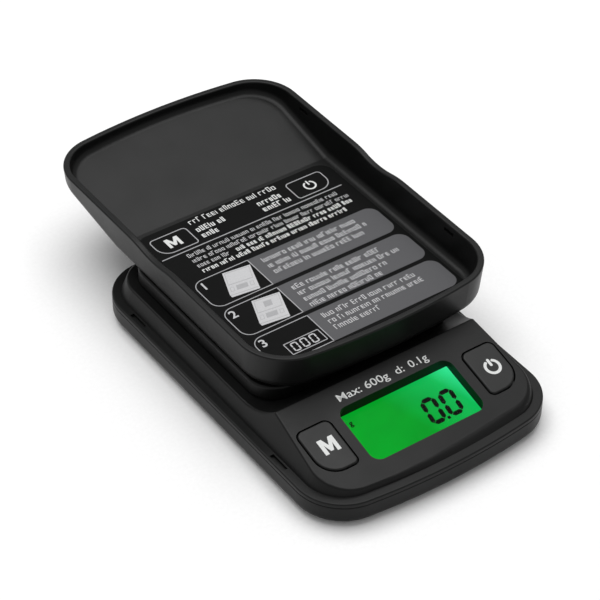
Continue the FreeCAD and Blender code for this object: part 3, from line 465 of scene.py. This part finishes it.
# text, x and width of each rating
RATINGS = (("Max:", -12.2, 7.4), ("600g", -3.2, 7.6), ("d:", 4.4, 2.6), ("0.1g", 10.6, 6.0))


def power_mark(mesh, x, y, radius, width, low, high):
    """The standby symbol: a ring open at the top with an upright bar."""
    prism(mesh, swept_band(x, y, radius, width, 122, 418), low, high)
    half = width / 2
    bar = round_box(x - half, x + half, y + radius * 0.12, y + radius * 1.32, half * 0.95)
    prism(mesh, bar, low, high)


def letter_m(mesh, x, y, width, height, stroke, low, high):
    """A heavy block letter M, with its lower left corner at x, y."""
    right, top, middle = x + width, y + height, x + width / 2
    shoulder, dip = stroke * 1.25, y + height * 0.12
    outline = [
        (x, y), (x + stroke, y), (x + stroke, top - stroke * 1.7), (middle - stroke * 0.4, dip),
        (middle + stroke * 0.4, dip), (right - stroke, top - stroke * 1.7), (right - stroke, y),
        (right, y), (right, top), (right - shoulder, top), (middle, dip + stroke * 1.6),
        (x + shoulder, top), (x, top),
    ]
    prism(mesh, outline, low, high)


def make_key_marks():
    low = KEY_PROUD + INK_GAP
    high = low + INK_THICK
    letter = bmesh.new()
    letter_m(letter, *MODE_MARK, low, high)
    finish_print("mode_mark", letter, PANEL, INK_WHITE, "mode_key")
    symbol = bmesh.new()
    power_mark(symbol, *POWER_MARK, low, high)
    finish_print("power_mark", symbol, PANEL, INK_WHITE, "power_key")


def make_panel_marks():
    low, high = INK_GAP, INK_GAP + INK_THICK
    marks = bmesh.new()
    for text, x, width in RATINGS:
        add_text(marks, text, RATINGS_SIZE, x, RATINGS_Y, low, high, bold=0.015, width=width)
    finish_print("range_marks", marks, PANEL, INK_WHITE, "case")


# the bars of a seven-segment zero, each between two places given as column and row
ZERO_BARS = (
    ((0, 2), (1, 2)), ((1, 2), (1, 1)), ((1, 1), (1, 0)),
    ((1, 0), (0, 0)), ((0, 0), (0, 1)), ((0, 1), (0, 2)),
)
SEGMENT_GAP = 0.08  # at each end of a bar, as a share of its width

GLASS_DEPTH = 3.75  # from the panel's skin down to the display glass
GLASS_GAP, DIGIT_THICK = 0.01, 0.03
DIGIT_LEFTS, DIGIT_Y = (4.8, 10.7), -5.6
DIGIT_SHAPE = (3.6, 7.2, 1.35, 0.09)  # width, height, stroke and slant
POINT_BOX = (9.0, 9.9, -6.3, -5.4)  # x from and to, y from and to
UNIT_SIZE, UNIT_X, UNIT_Y = 2.4, -15.2, 5.2


def segment_outline(start, end, width, gap):
    """A bar with pointed ends between two corners of a digit."""
    a, b = Vector(start), Vector(end)
    along = (b - a).normalized()
    side = Vector((-along.y, along.x)) * width / 2
    point = along * (width / 2)
    a, b = a + along * gap, b - along * gap
    corners = [a, a + point - side, b - point - side, b, b - point + side, a + point + side]
    return [(p.x, p.y) for p in corners]


def zero_digit(mesh, x, y, width, height, stroke, slant, low, high):
    """A seven-segment zero, with its lower left corner at x, y."""
    for places in ZERO_BARS:
        ends = []
        for column, row in places:
            up = row * height / 2
            ends.append((x + column * width + up * slant, y + up))
        prism(mesh, segment_outline(*ends, stroke, stroke * SEGMENT_GAP), low, high)


def make_display_marks():
    """Two digits with a point between them and a small unit mark, printed on the glass."""
    low = -GLASS_DEPTH + GLASS_GAP
    high = low + DIGIT_THICK
    marks = bmesh.new()
    for x in DIGIT_LEFTS:
        zero_digit(marks, x, DIGIT_Y, *DIGIT_SHAPE, low, high)
    prism(marks, round_box(*POINT_BOX, 0.15), low, high)
    add_text(marks, "g", UNIT_SIZE, UNIT_X, UNIT_Y, low, high, bold=0.06)
    finish_print("display_digits", marks, PANEL, SEGMENT, "case")


make_key_marks()
make_panel_marks()
make_display_marks()

# ---------------------------------------------------------------- printed card, in mm

ROW_PITCH = 14.4
ROW_GAP = 1.5
ROW_LEFT, ROW_SPLIT, ROW_RIGHT = -30.0, -11.0, 32.3
ROWS_TOP = 45.0
ROW_CORNER, SQUARE_CORNER = 3.4, 0.05
ROW_LENGTHS = ([32.0, 34.0, 31.0], [30.0, 35.0, 29.0, 25.0], [32.0, 33.0, 16.0])
RULE_Y, RULE_HALF = 58.0, 0.17
TITLE_Y, WORDS_Y = 67.2, 63.2
WORDS_X, FAR_WORDS_X, NOTES_X = -15.5, 5.5, -24.0
WORDS_PITCH, WORDS_SIZE = 3.0, 1.6
NOTES_PITCH, NOTES_SIZE, BOLD_NOTES_SIZE = 2.55, 1.2, 1.3
ROW_PRINT_PITCH, ROW_PRINT_SIZE, ROW_NUMBER_SIZE = 2.9, 1.45, 4.3
PLAIN, BOLD, HEAVY = 0.17, 0.22, 0.24  # a stroke's width as a share of a mark's height
KEY_LOW, KEY_HIGH = 59.3, 67.4

# low and high faces of the prints: on the card, as a thinner border there, and on another print
LAYER = 0.02
ON_CARD = (LAYER, 2 * LAYER)
BORDER = (LAYER, 1.9 * LAYER)
ON_PRINT = (2 * LAYER + INK_GAP, 3 * LAYER)

GLYPHS = {
    "arch": ("left", "right", "top"),
    "cup": ("left", "right", "bottom"),
    "ring": ("left", "right", "top", "bottom"),
    "comb": ("left", "top", "middle", "bottom"),
    "hook": ("left", "top"),
    "post": ("left",),
}
STROKE_GAP = 0.01


def glyph(mesh, shape, x, y, width, height, stroke, low, high):
    """One mark of the meaningless small print: upright posts with bars between them."""
    left = x + stroke + STROKE_GAP
    right = x + width - (stroke if "right" in GLYPHS[shape] else 0.0) - STROKE_GAP
    top = y + height
    bars = {
        "left": (x, x + stroke, y, top),
        "right": (x + width - stroke, x + width, y, top),
        "top": (left, right, top - stroke, top),
        "middle": (left, right, y + (height - stroke) / 2, y + (height + stroke) / 2),
        "bottom": (left, right, y, y + stroke),
    }
    for name in GLYPHS[shape]:
        x_low, x_high, y_low, y_high = bars[name]
        corners = [(x_low, y_low), (x_high, y_low), (x_high, y_high), (x_low, y_high)]
        prism(mesh, corners, low, high)


def greeked_lines(mesh, x, y_top, lengths, line_pitch, height, low, high, seed, weight=PLAIN):
    """Lines of meaningless marks in word-like groups, standing for small print."""
    draw = random.Random(seed)
    shapes = list(GLYPHS)
    for row, length in enumerate(lengths):
        at, y = x, y_top - row * line_pitch
        while at < x + length:
            for _ in range(draw.randint(2, 8)):
                shape = draw.choice(shapes)
                width = height * (weight if shape == "post" else draw.uniform(0.55, 0.75))
                tall = height * (1.35 if draw.random() > 0.75 else 1.0)
                if at + width > x + length:
                    at = x + length
                    break
                glyph(mesh, shape, at, y, width, tall, height * weight, low, high)
                at += width + height * 0.24
            at += height * 0.5


def key_shape(x_low, x_high, blunt_right):
    """A key's outline as printed on the card, with its blunt front corner on one side."""
    far, near, blunt = 1.4, 1.0, 4.2
    radii = [blunt, far, far, near] if blunt_right else [near, far, far, blunt]
    return round_box(x_low, x_high, KEY_LOW, KEY_HIGH, radii)


def small_scale(light, lines, low_y, loaded):
    """A plain drawing of a scale from above its front left corner, with plate, display and keys."""
    x, y = ROW_LEFT + 5.4, low_y + 0.9

    def spot(u, v):
        """A place on the drawn top: u along the front edge and v up the side, both from 0 to 1."""
        return (x + 1.0 + 8.6 * u + 3.4 * v, y + 2.0 - 1.1 * u + 9.0 * v)

    def patch(u_low, u_high, v_low, v_high):
        return [spot(u_low, v_low), spot(u_high, v_low), spot(u_high, v_high), spot(u_low, v_high)]

    side = [(x + 1.0, y + 0.9), (x + 9.6, y - 0.2), spot(1, 1), spot(0, 1), spot(0, 0)]
    seam = [(x + 1.0, y + 1.7), (x + 9.6, y + 0.6), (x + 9.6, y + 0.75), (x + 1.0, y + 1.85)]
    prism(light, side, *ON_CARD)
    band_prism(lines, *frame_lines(patch(0.06, 0.94, 0.42, 0.96), 0.24), *ON_PRINT)
    prism(lines, patch(0.3, 0.7, 0.12, 0.32), *ON_PRINT)
    for u_low, u_high in ((0.08, 0.22), (0.78, 0.92)):
        band_prism(lines, *frame_lines(patch(u_low, u_high, 0.12, 0.3), 0.16), *ON_PRINT)
    prism(lines, seam, *ON_PRINT)
    if loaded:
        prism(lines, patch(0.36, 0.64, 0.58, 0.82), *ON_PRINT)


def readout(light, lines, low_y):
    """A printed display frame with a reading in it."""
    x, y = ROW_LEFT + 6.5, low_y + 1.6
    band_prism(lines, *frame_lines(round_box(x, x + 11.5, y, y + 5.0, 0.3), 0.3), *BORDER)
    for place in (1.6, 4.6, 7.6):
        zero_digit(light, x + place, y + 0.9, 1.7, 3.2, 0.42, 0.06, *ON_CARD)


def make_heading(lines, light, bold):
    """The title, the two keys with what they do, and the small print below the rule."""
    greeked_lines(bold, WORDS_X, TITLE_Y, [31.0], WORDS_PITCH, WORDS_SIZE, *ON_CARD, seed=3)
    for x_low, x_high, blunt_right in ((-29.8, -17.4, False), (17.0, 29.4, True)):
        outline = key_shape(x_low, x_high, blunt_right)
        band_prism(lines, *frame_lines(outline, 0.32), *ON_CARD)
    letter_m(bold, -25.9, 61.4, 4.4, 4.1, 0.95, *ON_CARD)
    power_mark(bold, 23.3, 63.1, 1.75, 0.55, *ON_CARD)
    for x, lengths, seed in ((WORDS_X, [10.5, 6.5], 12), (FAR_WORDS_X, [8.5, 9.5], 19)):
        greeked_lines(bold, x, WORDS_Y, lengths, WORDS_PITCH, WORDS_SIZE, *ON_CARD, seed=seed,
                      weight=BOLD)
    rule = round_box(-31.0, 31.0, RULE_Y - RULE_HALF, RULE_Y + RULE_HALF, 0.1)
    prism(lines, rule, *ON_CARD)

    # four lines of small print, bold for most of the third and all of the fourth
    greeked_lines(light, NOTES_X, RULE_Y - 3.1, [52.0, 54.0, 12.0], NOTES_PITCH, NOTES_SIZE,
                  *ON_CARD, seed=5)
    for x, down, length, seed in ((-11.0, 8.2, 41.0, 8), (NOTES_X, 10.8, 50.0, 9)):
        greeked_lines(bold, x, RULE_Y - down, [length], NOTES_PITCH, BOLD_NOTES_SIZE, *ON_CARD,
                      seed=seed, weight=HEAVY)


def make_row(row, lengths, panels, lines, light):
    """One numbered row: a drawing in a border on the left and small print on a panel."""
    high_y = ROWS_TOP - row * ROW_PITCH
    low_y = high_y - ROW_PITCH + ROW_GAP
    right_round = [ROW_CORNER, ROW_CORNER, SQUARE_CORNER, SQUARE_CORNER]
    left_round = [SQUARE_CORNER, SQUARE_CORNER, ROW_CORNER, ROW_CORNER]
    prism(panels, round_box(ROW_SPLIT, ROW_RIGHT, low_y, high_y, right_round), *ON_CARD)
    border = round_box(ROW_LEFT, ROW_SPLIT, low_y, high_y, left_round)
    band_prism(lines, *frame_lines(border, 0.28), *BORDER)
    number = str(row + 1)
    add_text(light, number, ROW_NUMBER_SIZE, ROW_LEFT + 2.6, high_y - 3.0, *ON_CARD, bold=0.07)
    greeked_lines(light, ROW_SPLIT + 3.2, high_y - 3.6, lengths, ROW_PRINT_PITCH, ROW_PRINT_SIZE,
                  *ON_PRINT, seed=20 + row)
    if row < 2:
        small_scale(light, lines, low_y, loaded=row == 1)
    else:
        readout(light, lines, low_y)


def make_card():
    panels, lines, light, bold = (bmesh.new() for _ in range(4))
    make_heading(lines, light, bold)
    for row, lengths in enumerate(ROW_LENGTHS):
        make_row(row, lengths, panels, lines, light)
    for name, mesh, ink in (("card_panels", panels, INK_GREY), ("card_lines", lines, INK_PALE),
                            ("card_light_print", light, INK_LIGHT),
                            ("card_bold_print", bold, INK_WHITE)):
        finish_print(name, mesh, LABEL, ink, "tray")


make_card()

# ---------------------------------------------------------------- floor, light and camera

FLOOR_SIZE = 6.0
LAMP_PLACE, LAMP_TARGET = (0.10, 0.30, 1.1), (0, 0.02, 0)
LAMP_SIZE, LAMP_POWER = (1.2, 1.0), 12.0
WORLD_COLOUR, WORLD_STRENGTH = (1.0, 1.0, 1.0, 1.0), 0.52

# the camera looks at AIM from DISTANCE away; its direction and roll are in these angles
AZIMUTH, ELEVATION, ROLL = math.radians(-35.63), math.radians(40.29), math.radians(0.6)
AIM = Vector((0.0102, 0.0249, 0.0))
DISTANCE = 0.650
SENSOR_WIDTH, FOCAL_LENGTH = 36.0, 135.8


def paper():
    g = Graph("paper")
    colour = g.mix(g.spread(g.noise(900.0, 3.0)), grey(0.87), grey(0.9))
    return g.principled(Base_Color=colour, Roughness=0.7, Specular_IOR_Level=0.2)


def make_floor():
    bpy.ops.mesh.primitive_plane_add(size=FLOOR_SIZE, location=(0, 0, 0))
    plane = bpy.context.object
    plane.name = "floor"
    plane.data.materials.append(paper())


def look(item, place, direction, roll=0.0):
    """Puts a lamp or camera at a place, looking along a direction."""
    item.location = place
    item.rotation_mode = "QUATERNION"
    turn = Matrix.Rotation(roll, 3, "Z").to_quaternion()
    item.rotation_quaternion = direction.to_track_quat("-Z", "Y") @ turn
    link(item)


def make_lamp():
    data = bpy.data.lights.new("overhead", "AREA")
    data.shape = "RECTANGLE"
    data.size, data.size_y = LAMP_SIZE
    data.energy = LAMP_POWER
    lamp = bpy.data.objects.new("overhead", data)
    look(lamp, LAMP_PLACE, Vector(LAMP_TARGET) - Vector(LAMP_PLACE))


def make_world():
    world = bpy.data.worlds.new("studio")
    world.use_nodes = True
    background = world.node_tree.nodes["Background"].inputs
    background["Color"].default_value = WORLD_COLOUR
    background["Strength"].default_value = WORLD_STRENGTH
    bpy.context.scene.world = world
    bpy.context.scene.view_settings.view_transform = "Standard"


def make_camera():
    level = math.cos(ELEVATION)
    back = Vector((math.sin(AZIMUTH) * level, -math.cos(AZIMUTH) * level, math.sin(ELEVATION)))
    lens = bpy.data.cameras.new("camera")
    lens.sensor_width = SENSOR_WIDTH
    lens.lens = FOCAL_LENGTH
    camera = bpy.data.objects.new("camera", lens)
    look(camera, AIM + back * DISTANCE, -back, ROLL)
    bpy.context.scene.camera = camera


make_floor()
make_lamp()
make_world()
make_camera()
